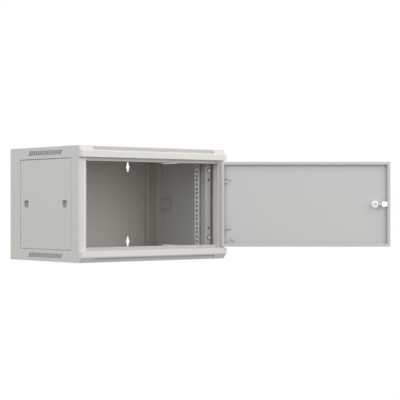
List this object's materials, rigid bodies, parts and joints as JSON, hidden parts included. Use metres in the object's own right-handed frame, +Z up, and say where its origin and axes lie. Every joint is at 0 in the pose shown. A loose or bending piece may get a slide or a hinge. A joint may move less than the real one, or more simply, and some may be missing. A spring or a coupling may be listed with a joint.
{
  "type": "wall mount network cabinet",
  "caption": "Wall mount rack cabinet in painted sheet steel with rack rails, lift-off side panels and a solid hinged front door with a cam lock, shown open.",
  "frame": {"origin": "middle of the rear panel's wall face", "axes": "+Z up, +Y into the wall, the door opening faces -Y; the door hangs on the +X side"},
  "size_m": [1.0243, 0.786, 0.37],
  "materials": {
    "body_paint": "fine textured powder coat",
    "rail_paint": "fine textured powder coat",
    "zinc": "zinc plated",
    "lock_metal": "nickel plated",
    "latch_plastic": "moulded, fine texture"
  },
  "bodies": {
    "cabinet": {"rear_panel": "body_paint", "roof_panel": "body_paint", "floor_panel": "body_paint", "left_side_frame": "body_paint", "right_side_frame": "body_paint", "left_front_post": "body_paint", "right_front_post": "body_paint", "left_rear_post": "body_paint", "right_rear_post": "body_paint", "upper_front_header": "body_paint", "lower_front_header": "body_paint", "upper_front_beam": "body_paint", "lower_front_beam": "body_paint", "left_rack_rail": "rail_paint", "right_rack_rail": "rail_paint", "upper_left_depth_rail": "body_paint", "upper_right_depth_rail": "body_paint", "lower_left_depth_rail": "body_paint", "lower_right_depth_rail": "body_paint", "upper_left_rail_bracket": "body_paint", "upper_right_rail_bracket": "body_paint", "lower_left_rail_bracket": "body_paint", "lower_right_rail_bracket": "body_paint", "rail_screws": "zinc", "bracket_bolts": "zinc", "earth_stud": "zinc", "earth_nut": "zinc"},
    "door": {"door_shell": "body_paint", "upper_hinge_guide": "zinc", "lower_hinge_guide": "zinc", "door_earth_stud": "zinc", "door_earth_nut": "zinc", "lock_barrel": "lock_metal", "lock_nut": "lock_metal"},
    "upper_hinge_pin_body": {"upper_hinge_pin": "zinc"},
    "lower_hinge_pin_body": {"lower_hinge_pin": "zinc"},
    "lock": {"lock_plug": "lock_metal", "lock_cam": "lock_metal", "lock_cam_screw": "lock_metal"},
    "left_side_panel_body": {"left_side_panel": "body_paint", "left_front_latch_housing": "latch_plastic", "left_rear_latch_housing": "latch_plastic"},
    "left_front_latch_slide_body": {"left_front_latch_slide": "latch_plastic"},
    "left_rear_latch_slide_body": {"left_rear_latch_slide": "latch_plastic"},
    "right_side_panel_body": {"right_side_panel": "body_paint", "right_front_latch_housing": "latch_plastic", "right_rear_latch_housing": "latch_plastic"},
    "right_front_latch_slide_body": {"right_front_latch_slide": "latch_plastic"},
    "right_rear_latch_slide_body": {"right_rear_latch_slide": "latch_plastic"}
  },
  "joints": [
    {"name": "door_hinge", "type": "hinge", "parent": "cabinet", "child": "door", "pos_m": [0.283, -0.415, 0], "axis": [0, 0, 1], "range_deg": [-140.3, 39.7]},
    {"name": "upper_hinge_pin_slide", "type": "slide", "parent": "door", "child": "upper_hinge_pin_body", "axis": [0, 0, -1], "range_m": [0, 0.0068], "stiffness_N_per_m": 600, "springref_m": -0.005},
    {"name": "lower_hinge_pin_slide", "type": "slide", "parent": "door", "child": "lower_hinge_pin_body", "axis": [0, 0, 1], "range_m": [0, 0.0068], "stiffness_N_per_m": 600, "springref_m": -0.005},
    {"name": "lock_turn", "type": "hinge", "parent": "door", "child": "lock", "pos_m": [0.67212, -0.75755, 0], "axis": [0.6388, 0.7694, 0], "range_deg": [0, 90]},
    {"name": "left_side_panel_lift_off", "type": "slide", "parent": "cabinet", "child": "left_side_panel_body", "axis": [-1, 0, 0], "range_m": [0, 0.12]},
    {"name": "left_front_latch_draw", "type": "slide", "parent": "left_side_panel_body", "child": "left_front_latch_slide_body", "axis": [0, 1, 0], "range_m": [0, 0.006], "stiffness_N_per_m": 400, "springref_m": -0.004},
    {"name": "left_rear_latch_draw", "type": "slide", "parent": "left_side_panel_body", "child": "left_rear_latch_slide_body", "axis": [0, -1, 0], "range_m": [0, 0.006], "stiffness_N_per_m": 400, "springref_m": -0.004},
    {"name": "right_side_panel_lift_off", "type": "slide", "parent": "cabinet", "child": "right_side_panel_body", "axis": [1, 0, 0], "range_m": [0, 0.12]},
    {"name": "right_front_latch_draw", "type": "slide", "parent": "right_side_panel_body", "child": "right_front_latch_slide_body", "axis": [0, 1, 0], "range_m": [0, 0.006], "stiffness_N_per_m": 400, "springref_m": -0.004},
    {"name": "right_rear_latch_draw", "type": "slide", "parent": "right_side_panel_body", "child": "right_rear_latch_slide_body", "axis": [0, -1, 0], "range_m": [0, 0.006], "stiffness_N_per_m": 400, "springref_m": -0.004}
  ]
}
